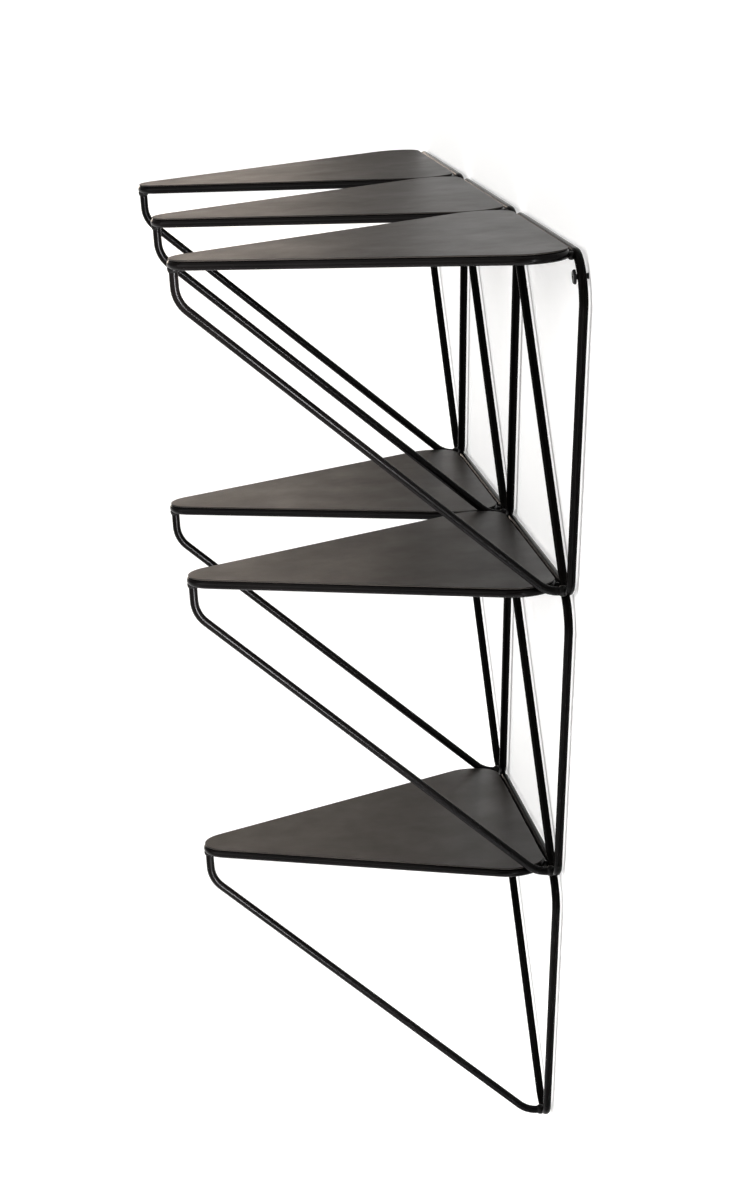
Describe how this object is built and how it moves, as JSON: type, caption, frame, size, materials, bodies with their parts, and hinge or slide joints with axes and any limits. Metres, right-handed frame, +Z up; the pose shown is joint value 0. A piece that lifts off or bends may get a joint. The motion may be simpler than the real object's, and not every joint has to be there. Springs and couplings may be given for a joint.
{
  "type": "metal wall shelf",
  "caption": "Black metal wall shelf of welded rod brackets in an inverted pyramid, each with a triangular back frame, a flat triangular plate on a rod ring and a diagonal brace.",
  "frame": {"origin": "on the wall, midway between the two wall screws at their height", "axes": "+X along the wall to the right as seen from the room, +Y into the wall, +Z up; the shelves stand out to -Y"},
  "size_m": [0.8258, 0.2853, 0.7238],
  "materials": {
    "rod_lacquer": "semi-gloss black lacquer",
    "plate_lacquer": "satin black lacquer",
    "weld_lacquer": "semi-gloss black lacquer over weld beads",
    "screw_black": "blackened steel"
  },
  "bodies": {
    "root": {"top_left_back_frame": "rod_lacquer", "top_left_shelf_ring": "rod_lacquer", "top_left_shelf_plate": "plate_lacquer", "top_left_brace": "rod_lacquer", "top_left_welds": "weld_lacquer", "top_centre_back_frame": "rod_lacquer", "top_centre_shelf_ring": "rod_lacquer", "top_centre_shelf_plate": "plate_lacquer", "top_centre_brace": "rod_lacquer", "top_centre_welds": "weld_lacquer", "top_right_back_frame": "rod_lacquer", "top_right_shelf_ring": "rod_lacquer", "top_right_shelf_plate": "plate_lacquer", "top_right_brace": "rod_lacquer", "top_right_welds": "weld_lacquer", "middle_left_back_frame": "rod_lacquer", "middle_left_shelf_ring": "rod_lacquer", "middle_left_shelf_plate": "plate_lacquer", "middle_left_brace": "rod_lacquer", "middle_left_welds": "weld_lacquer", "middle_right_back_frame": "rod_lacquer", "middle_right_shelf_ring": "rod_lacquer", "middle_right_shelf_plate": "plate_lacquer", "middle_right_brace": "rod_lacquer", "middle_right_welds": "weld_lacquer", "bottom_back_frame": "rod_lacquer", "bottom_shelf_ring": "rod_lacquer", "bottom_shelf_plate": "plate_lacquer", "bottom_brace": "rod_lacquer", "bottom_welds": "weld_lacquer", "joining_welds": "weld_lacquer", "wall_screws": "screw_black"}
  },
  "joints": []
}
